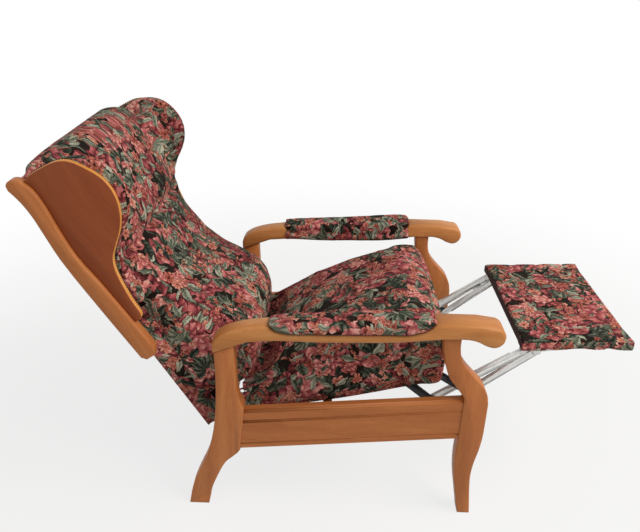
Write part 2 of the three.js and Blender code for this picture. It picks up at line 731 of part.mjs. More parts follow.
// The origin is on the floor, under the middle of the chair's length.
chair.updateMatrixWorld(true);
const extent = new THREE.Box3().setFromObject(chair, true);
chair.position.set(0, -(extent.min.y + extent.max.y) / 2, -floorLevel);

export default chair;
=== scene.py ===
# %% [markdown]
# A reclining wing armchair: a lacquered wooden frame, tapestry upholstery full of roses and
# leaves, and a footrest on a steel lazy-tong linkage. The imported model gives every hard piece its
# shape and place. This script gives the wood its grain, the steel its brushed look, and builds the
# upholstery as stuffed, seamed cloth around the plain solids of the pads.

import math

import bmesh
import bpy
import numpy as np
from mathutils import Matrix, Vector
from mathutils.bvhtree import BVHTree


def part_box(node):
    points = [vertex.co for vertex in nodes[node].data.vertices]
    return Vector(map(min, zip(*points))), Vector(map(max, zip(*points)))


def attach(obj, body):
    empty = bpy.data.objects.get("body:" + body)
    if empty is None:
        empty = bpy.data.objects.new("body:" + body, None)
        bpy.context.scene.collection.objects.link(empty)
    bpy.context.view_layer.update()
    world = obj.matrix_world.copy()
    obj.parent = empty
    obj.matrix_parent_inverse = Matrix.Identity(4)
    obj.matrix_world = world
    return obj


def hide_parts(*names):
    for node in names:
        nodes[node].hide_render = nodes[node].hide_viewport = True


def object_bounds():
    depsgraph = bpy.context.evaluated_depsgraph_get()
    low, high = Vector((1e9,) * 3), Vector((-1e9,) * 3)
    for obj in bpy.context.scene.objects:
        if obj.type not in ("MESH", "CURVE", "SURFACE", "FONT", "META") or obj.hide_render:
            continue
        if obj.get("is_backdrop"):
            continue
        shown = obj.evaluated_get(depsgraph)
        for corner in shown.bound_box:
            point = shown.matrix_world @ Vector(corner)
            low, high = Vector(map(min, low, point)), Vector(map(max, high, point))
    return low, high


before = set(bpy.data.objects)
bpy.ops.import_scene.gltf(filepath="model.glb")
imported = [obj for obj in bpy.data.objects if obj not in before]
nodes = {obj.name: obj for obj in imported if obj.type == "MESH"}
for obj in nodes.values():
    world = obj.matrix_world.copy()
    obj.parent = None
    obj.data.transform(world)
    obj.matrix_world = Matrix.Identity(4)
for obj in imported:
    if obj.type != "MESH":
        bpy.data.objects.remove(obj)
cad_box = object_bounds()
print("CAD box", [round(v, 3) for corner in cad_box for v in corner])

# %% [markdown]
# The hinged parts of the chair are easiest to shape in frames of their own: the seat's, with x
# across, y backwards and z up from its underside, and the back's, with z up the back from its
# hinge. These are the frames that the model was drawn in, so its sizes fit here as they are. Only
# the shift that centres the chair is measured, from a rail whose place in the drawing is known.

# %%
# Frames of the seat, the back and the footrest
DRAWN_RAIL_Y = 0.300
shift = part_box("rear_cross_rail")[0].y - DRAWN_RAIL_Y


def hinged(y, z, degrees):
    return Matrix.Translation((0, y + shift, z)) @ Matrix.Rotation(math.radians(-degrees), 4, "X")


SEAT_LEAN, BACK_LEAN, BOARD_LEAN = 14, 30.8, 3
SEAT = hinged(0.245, 0.264, SEAT_LEAN)
BACK = hinged(0.258, 0.288, BACK_LEAN)
BOARD = hinged(-0.4859, 0.471, BOARD_LEAN)
SIDES = {"left": 1, "right": -1}
print("shift", round(shift, 5))

# %% [markdown]
# The camera stands at the chair's right, above its arms, and looks a little down. Its place was
# solved from the straight edges of the legs, rail and footrest, and it is tilted about two
# degrees, as a camera held in the hand is.

# %%
# Camera


def linked(name, data):
    """A new object of the scene, around a mesh, a curve, a lamp or a camera."""
    made = bpy.data.objects.new(name, data)
    bpy.context.scene.collection.objects.link(made)
    return made


CAMERA_PLACE = Vector((-1.6615, 0.05648 + shift, 1.41235))
SENSOR_WIDTH, FOCAL_PIXELS, PHOTO_WIDTH = 36, 650, 640
camera_pitch, camera_yaw, camera_roll = 0.458222, 0.000545, 0.037657
forward = Vector((math.cos(camera_yaw) * math.cos(camera_pitch),
                  math.sin(camera_yaw) * math.cos(camera_pitch), -math.sin(camera_pitch)))
right = forward.cross(Vector((0, 0, 1))).normalized()
up = right.cross(forward)
rolled_right = math.cos(camera_roll) * right + math.sin(camera_roll) * up
rolled_up = math.cos(camera_roll) * up - math.sin(camera_roll) * right
camera = linked("camera", bpy.data.cameras.new("camera"))
camera.data.sensor_width = SENSOR_WIDTH
camera.data.lens = SENSOR_WIDTH * FOCAL_PIXELS / PHOTO_WIDTH
turn = Matrix((rolled_right, rolled_up, -forward)).transposed().to_4x4()
camera.matrix_world = Matrix.Translation(CAMERA_PLACE) @ turn
bpy.context.scene.camera = camera
print("lens", round(camera.data.lens, 2), "mm")

# %% [markdown]
# Colours are read off the photograph as they look on a screen, while shaders take linear light.

# %%
# Screen colours as linear values


def linear(red, green, blue):
    """A colour as seen on screen, 0 to 255, as the linear values that shaders use."""
    def one(v):
        v /= 255
        return v / 12.92 if v <= 0.04045 else ((v + 0.055) / 1.055) ** 2.4
    return (one(red), one(green), one(blue), 1)


print("middle grey, linear", round(linear(128, 128, 128)[0], 3))

# %% [markdown]
# Shader nodes do arithmetic one node at a time, which is long to write out. A small pen that
# adds a node for each operation, and hands back its socket, keeps a pattern readable as sums.

# %%
# A pen that writes shader arithmetic


class Pen:
    def __init__(self, tree):
        self.tree = tree

    def node(self, kind, **settings):
        made = self.tree.nodes.new(kind)
        for name, value in settings.items():
            setattr(made, name, value)
        return made

    def put(self, socket, value):
        if isinstance(value, bpy.types.NodeSocket):
            self.tree.links.new(value, socket)
        else:
            socket.default_value = value

    def fed(self, kind, *values, **settings):
        """A node with its first inputs filled in."""
        made = self.node(kind, **settings)
        for socket, value in zip(made.inputs, values):
            self.put(socket, value)
        return made

    def math(self, operation, *values):
        return self.fed("ShaderNodeMath", *values, operation=operation).outputs[0]

    def plus(self, a, b):
        return self.math("ADD", a, b)

    def minus(self, a, b):
        return self.math("SUBTRACT", a, b)

    def times(self, a, b):
        return self.math("MULTIPLY", a, b)

    def vector(self, operation, *values):
        made = self.fed("ShaderNodeVectorMath", *values, operation=operation)
        return made.outputs["Value" if operation in ("LENGTH", "DOT_PRODUCT") else "Vector"]

    def scaled(self, vector, factor):
        return self.vector("MULTIPLY", vector, (factor, factor, factor))

    def step(self, value, low, high):
        """0 below low, 1 above high, and smooth between them; high may be the smaller."""
        limits = (low, high, 0.0, 1.0) if low < high else (high, low, 1.0, 0.0)
        return self.fed("ShaderNodeMapRange", value, *limits,
                        interpolation_type="SMOOTHSTEP").outputs[0]

    def mix(self, factor, a, b, blend="MIX"):
        made = self.node("ShaderNodeMix", data_type="RGBA", blend_type=blend)
        self.put(made.inputs[0], factor)
        self.put(made.inputs[6], a)
        self.put(made.inputs[7], b)
        return made.outputs[2]

    def noise(self, vector, scale, detail=2.0, colour=False):
        made = self.node("ShaderNodeTexNoise")
        self.put(made.inputs["Vector"], vector)
        self.put(made.inputs["Scale"], scale)
        self.put(made.inputs["Detail"], detail)
        return made.outputs["Color" if colour else "Fac"]

    def bump(self, height, distance, strength=1.0):
        made = self.node("ShaderNodeBump")
        self.put(made.inputs["Height"], height)
        self.put(made.inputs["Distance"], distance)
        self.put(made.inputs["Strength"], strength)
        return made.outputs[0]


def material(name, roughness=0.5, metallic=0.0, **sockets):
    made = bpy.data.materials.new(name)
    made.use_nodes = True
    shader = made.node_tree.nodes["Principled BSDF"]
    shader.inputs["Roughness"].default_value = roughness
    shader.inputs["Metallic"].default_value = metallic
    for socket, value in sockets.items():
        shader.inputs[socket.replace("_", " ")].default_value = value
    return made, Pen(made.node_tree), shader


# %% [markdown]
# The cover is a woven tapestry: dusty pink roses with layered petals, salmon and peach
# blossoms, and grey-green leaves, close together on a burgundy ground that is almost black. A
# picture of a flower would blur close by and repeat. So each kind is one Voronoi texture, whose
# cells give it a centre, a random turn and a random tone. Sums of the angle and of the distance
# from the centre then draw the motif.

# %%
# A field of motifs
TAU = 2 * math.pi


class Cell:
    """A field of motifs: one centre for each Voronoi cell, with its own turn and tone."""

    def __init__(self, pen, cloth, per_metre, offset, randomness=0.75):
        place = pen.vector("ADD", pen.scaled(cloth, per_metre), (offset, offset * 1.7, 0))
        voronoi = pen.node("ShaderNodeTexVoronoi", voronoi_dimensions="2D")
        pen.put(voronoi.inputs["Vector"], place)
        pen.put(voronoi.inputs["Scale"], 1.0)
        pen.put(voronoi.inputs["Randomness"], randomness)
        random = pen.fed("ShaderNodeSeparateColor", voronoi.outputs["Color"])
        self.turn, self.tone, self.chance = random.outputs[0:3]
        local = pen.vector("SUBTRACT", place, voronoi.outputs["Position"])
        turned = pen.node("ShaderNodeVectorRotate", rotation_type="Z_AXIS")
        pen.put(turned.inputs["Vector"], local)
        pen.put(turned.inputs["Angle"], pen.times(self.turn, TAU))
        split = pen.fed("ShaderNodeSeparateXYZ", turned.outputs[0])
        self.x, self.y = split.outputs[0:2]
        self.radius = pen.vector("LENGTH", local)
        self.angle = pen.math("ARCTAN2", self.y, self.x)
        self.pen = pen

    def shown(self, keep):
        return self.pen.step(self.chance, 1 - keep, 1.001 - keep)


# %% [markdown]
# A blossom is rings of petals round its centre: the angle gives the petals, and each ring is
# turned by half a petal. Streaks run outwards along the petals.

# %%
# Blossom


def blossom(cell, petals, size, rings):
    """Edge distance, shade and radius of a blossom of overlapping, streaky petals."""
    pen = cell.pen
    across = pen.math("DIVIDE", cell.radius, size)
    ring = pen.math("FLOOR", pen.times(across, rings))
    spin = pen.times(ring, math.pi / petals)
    wave = pen.math("ABSOLUTE",
                    pen.math("COSINE", pen.times(pen.plus(cell.angle, spin), petals / 2)))
    within = pen.math("FRACT", pen.times(across, rings))
    polar = pen.fed("ShaderNodeCombineXYZ", pen.times(cell.angle, petals * 0.9),
                    pen.times(across, 1.6), pen.times(cell.turn, 40.0))
    streak = pen.minus(pen.noise(polar.outputs[0], 1.0, 2.0), 0.5)
    petal = pen.times(pen.math("POWER", wave, 0.5), pen.plus(0.3, pen.times(within, 0.7)))
    petal = pen.plus(petal, pen.times(streak, 1.1))
    rim = pen.plus(0.72, pen.times(wave, 0.28))
    return pen.minus(rim, across), petal, across


# %% [markdown]
# A leaf is long and bent, with veins that slant away from its midrib. One half is darker.

# %%
# Leaf


def leaf(cell, length, width):
    """Edge distance and shade of a leaf: dark along its midrib, pale at its rim."""
    pen = cell.pen
    along = pen.math("DIVIDE", cell.x, length)
    taper = pen.minus(1.0, pen.math("POWER", pen.math("ABSOLUTE", along), 1.7))
    bend = pen.times(pen.times(along, along), 0.3 * width)
    off = pen.math("DIVIDE", pen.minus(cell.y, bend), width)
    side = pen.math("ABSOLUTE", off)
    vein = pen.math("SINE", pen.plus(pen.times(along, 22.0), pen.times(side, -8.0)))
    shade = pen.plus(pen.times(vein, 0.16),
                     pen.plus(pen.times(side, 0.75), pen.times(pen.step(off, 0.0, 0.1), 0.28)))
    return pen.minus(taper, side), shade


# %% [markdown]
# A spray is a fan of narrow leaves on the side away from its stalk.

# %%
# Spray of narrow leaves


def spray(cell, leaflets, size):
    """Edge distance and shade of a fan of narrow leaves round one end of a stalk."""
    pen = cell.pen
    across = pen.math("DIVIDE", cell.radius, size)
    turn = pen.plus(pen.times(cell.angle, leaflets / TAU), 0.5)
    off = pen.times(pen.minus(pen.math("FRACT", turn), 0.5), TAU / leaflets)
    lateral = pen.times(pen.math("ABSOLUTE", off), across)
    half = pen.times(pen.math("SINE", pen.times(pen.math("MINIMUM", across, 1.0), math.pi)),
                     0.2)
    open_side = pen.minus(1.9, pen.math("ABSOLUTE", cell.angle))
    edge = pen.math("MINIMUM", pen.minus(half, lateral), open_side)
    shade = pen.plus(pen.math("DIVIDE", lateral, pen.plus(half, 0.02)),
                     pen.times(pen.step(off, 0.0, 0.05), 0.25))
    return pen.times(edge, 4.0), shade


# %% [markdown]
# Thin threads across the whole cloth break the pattern up as weaving does, and a few places are
# rubbed paler.

# %%
# Threads and wear
WEFT_PITCH, WARP_PITCH = 0.0011, 0.0016


def woven(pen, uv, colour, height):
    """The colour with threads and worn places, and the height of the cloth's relief."""
    split = pen.fed("ShaderNodeSeparateXYZ", uv)
    weft = pen.math("SINE", pen.times(split.outputs[1], TAU / WEFT_PITCH))
    warp = pen.math("SINE", pen.times(split.outputs[0], TAU / WARP_PITCH))
    thread = pen.times(pen.plus(weft, pen.times(warp, 0.6)), 0.5)
    streak = pen.noise(pen.vector("MULTIPLY", uv, (90.0, 700.0, 1.0)), 1.0, 1.0)
    light = pen.plus(0.7, pen.plus(pen.times(streak, 0.5), pen.times(thread, 0.06)))
    grey = pen.fed("ShaderNodeCombineColor", light, light, light).outputs[0]
    shaded = pen.mix(1.0, colour, grey, "MULTIPLY")
    worn = pen.step(pen.noise(uv, 6.0, 3.0), 0.55, 0.85)
    faded = pen.mix(pen.times(worn, 0.08), shaded, linear(150, 122, 104))
    return faded, pen.plus(pen.times(height, 0.8), pen.times(thread, 0.25))


# %% [markdown]
# The layers are laid over each other as an artist would paint them: dark leaves first, then the
# large roses, smaller ones, sprays, and the small salmon blossoms in clusters on top. Each motif
# has a dark outline, as the weaver's pattern has, and its edge wavers a little.

# %%
# Layers of the tapestry


def tones(pen, factor, *stops):
    """A colour ramp through evenly spaced colours."""
    ramp = pen.node("ShaderNodeValToRGB")
    elements = ramp.color_ramp.elements
    for i, colour in enumerate(stops):
        spot = elements[i] if i < 2 else elements.new(1.0)
        spot.position = i / (len(stops) - 1)
        spot.color = linear(*colour)
    pen.put(ramp.inputs[0], factor)
    return ramp.outputs[0]


def tapestry(name):
    made, pen, shader = material(name, roughness=0.95, Specular_IOR_Level=0.12)
    uv = pen.node("ShaderNodeUVMap", uv_map="cloth").outputs[0]
    slow = pen.vector("SUBTRACT", pen.noise(uv, 22.0, 1.0, colour=True), (0.5, 0.5, 0.5))
    quick = pen.vector("SUBTRACT", pen.noise(uv, 110.0, 3.0, colour=True), (0.5, 0.5, 0.5))
    cloth = pen.vector("ADD", pen.vector("ADD", uv, pen.scaled(slow, 0.03)),
                       pen.scaled(quick, 0.011))
    patch = pen.noise(uv, 14.0, 2.0)
    ground = tones(pen, pen.noise(cloth, 60.0, 3.0), (20, 14, 10), (26, 24, 18), (66, 30, 28))
    colour = ground
    height = pen.times(pen.noise(uv, 55.0), 0.2)

    def lay(edge, shown, tone, raised, outline=0.16):
        nonlocal colour, height
        mask = pen.times(pen.step(edge, 0.0, 0.06), shown)
        around = pen.times(pen.step(edge, -outline, -outline * 0.3), shown)
        colour = pen.mix(pen.times(around, 0.72), colour, linear(30, 17, 14))
        colour = pen.mix(mask, colour, tone)
        height = pen.math("MAXIMUM", height, pen.times(mask, raised))

    def greens(cell, shade, light):
        value = pen.plus(pen.times(shade, 0.62), pen.minus(pen.times(cell.tone, light), 0.12))
        return tones(pen, value, (26, 30, 25), (52, 58, 48), (98, 104, 88), (148, 150, 130),
                     (190, 188, 166))

    def leaves(per_metre, offset, length, width, keep, light):
        cell = Cell(pen, cloth, per_metre, offset, 0.9)
        edge, shade = leaf(cell, length, width)
        lay(edge, cell.shown(keep), greens(cell, shade, light), 0.5, 0.3)

    def sprays(per_metre, offset, leaflets, size, keep, light):
        cell = Cell(pen, cloth, per_metre, offset, 0.8)
        edge, shade = spray(cell, leaflets, size)
        lay(edge, cell.shown(keep), greens(cell, shade, light), 0.5, 0.22)

    def blossoms(per_metre, offset, petals, size, rings, keep, low, middle, high, heart, where=1.0):
        cell = Cell(pen, cloth, per_metre, offset)
        edge, petal, across = blossom(cell, petals, size, rings)
        value = pen.plus(pen.times(petal, 0.8), pen.minus(pen.times(cell.tone, 0.5), 0.16))
        tone = tones(pen, value, *low, middle, high)
        if heart:
            tone = pen.mix(pen.step(across, 0.3, 0.18), tone, linear(*heart))
        lay(edge, pen.times(cell.shown(keep), where), tone, 0.8)

    dark = (44, 20, 20)
    leaves(17.0, 3.1, 0.62, 0.26, 0.95, 0.3)
    blossoms(13.0, 7.7, 5, 0.66, 2.5, 0.88, (dark, (122, 52, 56)), (184, 98, 97), (226, 160, 150),
             None)
    leaves(21.0, 11.9, 0.66, 0.22, 0.5, 0.5)
    blossoms(19.0, 17.3, 6, 0.52, 2.0, 0.4, (dark, (132, 60, 58)), (198, 112, 106), (232, 178, 162),
             None)
    sprays(13.0, 53.9, 11, 0.62, 0.42, 0.5)
    blossoms(25.0, 23.9, 8, 0.44, 1.0, 0.24, (dark, (152, 72, 62)), (194, 116, 98), (226, 168, 144),
             (58, 32, 26))
    leaves(27.0, 31.3, 0.66, 0.2, 0.36, 0.75)
    cluster = pen.step(patch, 0.5, 0.56)
    blossoms(62.0, 41.1, 5, 0.5, 1.0, 0.5, (dark, (152, 70, 60)), (198, 118, 98), (228, 172, 148),
             (62, 34, 28), cluster)
    leaves(38.0, 67.7, 0.68, 0.15, 0.2, 0.9)

    faded, relief = woven(pen, uv, colour, height)
    pen.put(shader.inputs["Base Color"], faded)
    pen.put(shader.inputs["Normal"], pen.bump(relief, 0.0005, 0.8))
    return made


TAPESTRY = tapestry("tapestry")
print("tapestry nodes", len(TAPESTRY.node_tree.nodes))

# %% [markdown]
# The frame is beech or alder, stained orange-brown and lacquered. Grain is a noise texture pulled
# out along the length of each piece, so each piece says which way its grain runs. Short dark
# flecks lie over it, and the lacquer is a thin, slightly dull coat. The arms have paler, yellower
# tones than the rest, and the wing boards are a darker, redder panel with a pale edge.

# %%
# Wood


def lacquered(name, dark, middle, light, turn=(0, 0, 0), roughness=0.5, coat=0.1):
    """Wood whose grain runs along local Y once the pattern is turned."""
    made, pen, shader = material(name, roughness=roughness, Specular_IOR_Level=0.25,
                                 Coat_Weight=coat, Coat_Roughness=0.3)
    place = pen.node("ShaderNodeTexCoord").outputs["Object"]
    mapping = pen.node("ShaderNodeMapping", vector_type="TEXTURE")
    pen.put(mapping.inputs["Vector"], place)
    mapping.inputs["Rotation"].default_value = [math.radians(a) for a in turn]
    grain = mapping.outputs[0]
    drift = pen.scaled(pen.noise(grain, 4.0, 2.0, colour=True), 0.05)
    bent = pen.vector("ADD", grain, drift)
    broad = pen.noise(pen.vector("MULTIPLY", bent, (26.0, 1.6, 26.0)), 1.0, 3.0)
    fine = pen.noise(pen.vector("MULTIPLY", bent, (230.0, 9.0, 230.0)), 1.0, 2.0)
    fleck = pen.step(pen.noise(pen.vector("MULTIPLY", grain, (520.0, 60.0, 520.0)), 1.0, 0.0),
                     0.66, 0.74)
    value = pen.plus(pen.times(broad, 0.75), pen.times(fine, 0.3))
    colour = tones(pen, pen.step(value, 0.2, 0.9), dark, middle, light)
    colour = pen.mix(pen.times(fleck, 0.18), colour, linear(*[0.7 * c for c in dark]))
    pen.put(shader.inputs["Base Color"], colour)
    pen.put(shader.inputs["Normal"], pen.bump(fine, 0.0002, 0.25))
    return made


FRAME_TONES = ((164, 94, 48), (182, 110, 58), (200, 130, 74))
ARM_TONES = ((172, 106, 54), (192, 126, 68), (210, 146, 86))
EDGE_TONES = ((198, 126, 58), (216, 146, 72), (230, 164, 90))
PANEL_TONES = ((124, 58, 26), (138, 68, 32), (150, 78, 40))
INNER_TONES = ((150, 112, 72), (184, 146, 100), (206, 172, 126))
UP_THE_BACK = (90 - BACK_LEAN, 0, 0)
WOOD_ALONG = lacquered("wood_along", *FRAME_TONES)
WOOD_UPRIGHT = lacquered("wood_upright", *FRAME_TONES, turn=(90, 0, 0))
WOOD_ACROSS = lacquered("wood_across", *FRAME_TONES, turn=(0, 0, 90))
WOOD_POST = lacquered("wood_post", *FRAME_TONES, turn=UP_THE_BACK)
WOOD_ARM = lacquered("wood_arm", *ARM_TONES)
WOOD_EDGE = lacquered("wood_edge", *EDGE_TONES, turn=UP_THE_BACK)
WOOD_WING = lacquered("wood_wing", *PANEL_TONES, turn=UP_THE_BACK, roughness=0.6, coat=0.05)
WOOD_INNER = lacquered("wood_inner", *INNER_TONES, roughness=0.75, coat=0.0)
WOOD_INNER_BACK = lacquered("wood_inner_back", *INNER_TONES, turn=UP_THE_BACK,
                            roughness=0.75, coat=0.0)
print("woods", sum(made.name.startswith("wood") for made in bpy.data.materials))

# %% [markdown]
# The mechanism is pressed steel. Its outer links are zinc plated and catch the light in long
# brushed streaks, with dull spots where hands and cleaning have worn them. The inner links, plates
# and springs are black.

# %%
# Steel, lining and dark trim


def steel(name, colour, roughness, metallic=1.0, spots=0.25):
    made, pen, shader = material(name, metallic=metallic)
    place = pen.node("ShaderNodeTexCoord").outputs["Object"]
    brushed = pen.noise(pen.vector("MULTIPLY", place, (900.0, 60.0, 90.0)), 1.0, 2.0)
    cloud = pen.noise(place, 45.0, 4.0)
    dull = pen.step(cloud, 0.45, 0.8)
    shade = tones(pen, cloud, [0.8 * c for c in colour], colour)
    pen.put(shader.inputs["Base Color"],
            pen.mix(pen.times(dull, spots), shade, linear(*[0.6 * c for c in colour])))
    pen.put(shader.inputs["Roughness"],
            pen.plus(roughness, pen.times(pen.plus(brushed, dull), 0.14)))
    pen.put(shader.inputs["Normal"], pen.bump(brushed, 0.0001, 0.3))
    return made


ZINC = steel("zinc_plated_steel", (228, 227, 223), 0.3, spots=0.12)
BLACK_STEEL = steel("black_steel", (46, 46, 50), 0.38, metallic=0.6, spots=0.5)


def plain_cloth(name, dark, light):
    made, pen, shader = material(name, roughness=0.95)
    place = pen.node("ShaderNodeTexCoord").outputs["Object"]
    weave = pen.noise(place, 900.0, 2.0)
    pen.put(shader.inputs["Base Color"], tones(pen, weave, dark, light))
    pen.put(shader.inputs["Normal"], pen.bump(weave, 0.0003, 0.6))
    return made


LINING = plain_cloth("black_lining", (16, 16, 17), (40, 40, 42))
TRIM = plain_cloth("dark_trim", (26, 14, 14), (74, 40, 36))
print("materials", len(bpy.data.materials))

# %% [markdown]
# Hard pieces keep the model's own meshes. Those come as loose triangles, so a copy of each has its
# doubles merged, which lets the rounded edges shade smoothly and the corners stay crisp. The copy
# takes the node's place and rides on the same body.

# %%
# Hard pieces


def bare_copy(node):
    """A merged copy of a node's mesh, as a new bmesh."""
    bm = bmesh.new()
    bm.from_mesh(nodes[node].data)
    bmesh.ops.remove_doubles(bm, verts=bm.verts, dist=1e-5)
    return bm


def blank(name, bm):
    mesh = bpy.data.meshes.new(name)
    bm.to_mesh(mesh)
    bm.free()
    return linked(name, mesh)


def finished(name, bm, made, body, crisp=32):
    piece = blank(name, bm)
    piece.data.materials.append(made)
    piece.data.shade_smooth()
    piece.data.set_sharp_from_angle(angle=math.radians(crisp))
    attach(piece, body)
    return piece


def dress(node, made, body):
    piece = finished(node + "_shown", bare_copy(node), made, body)
    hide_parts(node)
    return piece


# %% [markdown]
# Each hard piece gets its finish and rides on its body. A wing board takes two finishes:
# faces that look sideways are the dark panel, and the rest are its pale edge.

# %%
# Frame, linkage, springs and webbing
for side in SIDES:
    for node, made in (("front_leg", WOOD_UPRIGHT), ("rear_leg", WOOD_UPRIGHT),
                       ("arm", WOOD_ARM), ("side_rail", WOOD_ALONG)):
        dress(f"{node}_{side}", made, "base")
    dress(f"seat_pivot_{side}", BLACK_STEEL, "base")
    dress(f"back_post_{side}", WOOD_POST, "back")
    board = dress(f"wing_panel_{side}", WOOD_WING, "back")
    board.data.materials.append(WOOD_EDGE)
    for face in board.data.polygons:
        face.material_index = int(abs(face.normal.x) < 0.8)
    dress(f"back_upright_{side}", WOOD_INNER_BACK, "back")
    dress(f"back_hinge_arm_{side}", BLACK_STEEL, "back")
    dress(f"seat_side_rail_{side}", WOOD_INNER, "seat")
    dress(f"mechanism_plate_{side}", BLACK_STEEL, "seat")
    dress(f"footrest_bracket_{side}", ZINC, "footrest")
    for letter, made, slot in (("a", BLACK_STEEL, "dark_steel"), ("b", BLACK_STEEL, "dark_steel"),
                               ("c", ZINC, "bright_steel"), ("d", ZINC, "bright_steel")):
        dress(f"link_{letter}_{side}", made, f"link_{letter}")
dress("rear_cross_rail", WOOD_ACROSS, "base")
dress("middle_cross_rail", WOOD_ACROSS, "base")
for node in ("seat_front_rail", "seat_rear_rail"):
    dress(node, WOOD_ACROSS, "seat")
for node in ("back_bottom_rail", "back_middle_rail", "back_top_rail"):
    dress(node, WOOD_ACROSS, "back")
for i in range(1, 5):
    dress(f"seat_spring_{i}", BLACK_STEEL, "seat")
    dress(f"back_web_{i}", LINING, "back")
dress("footrest_board", TRIM, "footrest")
print("hard pieces", len(bpy.data.meshes))

# %% [markdown]
# Tapestry is cut in panels, and the flowers run on round a pad's front and top but break at its
# side seams. So each padded piece gets a flat pattern of its own: across the front, one coordinate
# is the width and the other the length of the cloth, measured along the pad's side view, and on
# the sides the pattern is the side view itself. Blender stores it as a UV map in metres.

# %%
# Cloth pattern on a pad


def along(line, points):
    """Length along a polyline of the place nearest to each point of the side view."""
    line = np.array(line)
    starts, runs = line[:-1], np.diff(line, axis=0)
    lengths = np.linalg.norm(runs, axis=1)
    before = np.concatenate([[0], np.cumsum(lengths)[:-1]])
    best = np.full(len(points), 1e9)
    result = np.zeros(len(points))
    for start, run, length, base in zip(starts, runs, lengths, before):
        t = np.clip(((points - start) @ run) / length ** 2, 0, 1)
        gap = np.linalg.norm(points - start - t[:, None] * run, axis=1)
        nearer = gap < best
        best[nearer] = gap[nearer]
        result[nearer] = (base + t * length)[nearer]
    return result


def read(items, field, kind=float, shape=-1):
    """One field of all the points, corners or faces of a mesh, as an array."""
    flat = np.empty(len(items) * (1 if shape == -1 else 3), kind)
    items.foreach_get(field, flat)
    return flat.reshape(shape)


def lay_cloth(piece, place, line, seed, side_slant=0.75):
    """UV map "cloth" in metres, from the piece's shape in the hinged frame given by place."""
    mesh = piece.data
    inverse = np.array(place.inverted())
    points = read(mesh.vertices, "co", shape=(-1, 3)) @ inverse[:3, :3].T + inverse[:3, 3]
    length = along(line, points[:, 1:])
    corner = read(mesh.loops, "vertex_index", int)
    normals = read(mesh.polygons, "normal", shape=(-1, 3)) @ inverse[:3, :3].T
    sideways = np.abs(normals[:, 0]) > side_slant
    sizes = read(mesh.polygons, "loop_total", int)
    on_side = np.repeat(sideways, sizes)
    hand = np.repeat(np.sign(normals[:, 0]), sizes)
    p = points[corner]
    front = np.stack([p[:, 0], length[corner]], 1)
    flank = np.stack([p[:, 1] * hand + 3.7, p[:, 2]], 1)
    layer = mesh.uv_layers.get("cloth") or mesh.uv_layers.new(name="cloth")
    uv = np.where(on_side[:, None], flank, front) + seed
    layer.data.foreach_set("uv", uv.astype(np.float32).ravel())


# %% [markdown]
# Cloth needs an even mesh of small faces to bend, so a pad's shape is rebuilt with the Remesh
# modifier, and its hard corners are rounded off.

# %%
# Even meshes
VOXEL, FINE_VOXEL = 0.006, 0.004


def even_mesh(piece, voxel):
    remesh = piece.modifiers.new("even", "REMESH")
    remesh.mode = "VOXEL"
    remesh.voxel_size = voxel
    apply_modifiers(piece)


def apply_modifiers(piece):
    graph = bpy.context.evaluated_depsgraph_get()
    made = bpy.data.meshes.new_from_object(piece.evaluated_get(graph))
    piece.modifiers.clear()
    old = piece.data
    piece.data = made
    bpy.data.meshes.remove(old)


def relax(piece, rounds, factor=0.5):
    """Rounds hard corners off an even mesh."""
    bm = bmesh.new()
    bm.from_mesh(piece.data)
    for _ in range(rounds):
        bmesh.ops.smooth_vert(bm, verts=bm.verts, factor=factor, use_axis_x=True,
                              use_axis_y=True, use_axis_z=True)
    bm.to_mesh(piece.data)
    bm.free()


# %% [markdown]
# A stuffed cushion looks right when real cloth physics has filled it. The pad's shape starts a
# little undersized, and Blender's Cloth simulation blows it up until the cover is tight. The cloth
# has a little slack, so that it doesn't pull its corners in. No point may travel further than a
# cap, so the pad keeps the place that the frame gives it.

# %%
# Stuffing a pad
FILLING_FRAMES, CLOTH_TIGHTNESS, CLOTH_SLACK = 20, 15.0, 0.02


def stuff(piece, pressure, cap):
    """Fills the pad by a cloth simulation and caps how far any point moves."""
    before = read(piece.data.vertices, "co", shape=(-1, 3))
    cloth = piece.modifiers.new("cloth", "CLOTH")
    settings = cloth.settings
    settings.quality = 5
    settings.mass = 0.3
    settings.tension_stiffness = settings.compression_stiffness = CLOTH_TIGHTNESS
    settings.bending_stiffness = 0.5
    settings.shrink_min = -CLOTH_SLACK
    settings.use_pressure = True
    settings.uniform_pressure_force = pressure
    settings.effector_weights.gravity = 0
    cloth.collision_settings.use_collision = False
    scene = bpy.context.scene
    cloth.point_cache.frame_end = FILLING_FRAMES
    for i in range(1, FILLING_FRAMES + 1):
        scene.frame_set(i)
    apply_modifiers(piece)
    scene.frame_set(1)
    move = read(piece.data.vertices, "co", shape=(-1, 3)) - before
    far = np.linalg.norm(move, axis=1, keepdims=True)
    after = before + move * np.minimum(1, cap / np.maximum(far, 1e-9))
    piece.data.vertices.foreach_set("co", after.ravel())
    piece.data.update()
    print(piece.name, "moved up to", round(float(min(far.max(), cap)) * 1000, 1), "mm")


def clothed(piece, body, *replaced, fill):
    """Covers a padded piece in tapestry, in place of the named plain solids."""
    mesh = piece.data
    mesh.materials.clear()
    mesh.materials.append(TAPESTRY)
    mesh.shade_smooth()
    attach(piece, body)
    if replaced:
        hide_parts(*replaced)


# %% [markdown]
# Piping and trims follow the finished surfaces: a path is drawn near an edge, each of its points
# is put on the nearest place of the stuffed surface, and a thin round cord or a row of small
# knots is laid along it.

# %%
# Piping and rows of knots


def tree_of(mesh):
    bm = bmesh.new()
    bm.from_mesh(mesh)
    tree = BVHTree.FromBMesh(bm)
    bm.free()
    return tree


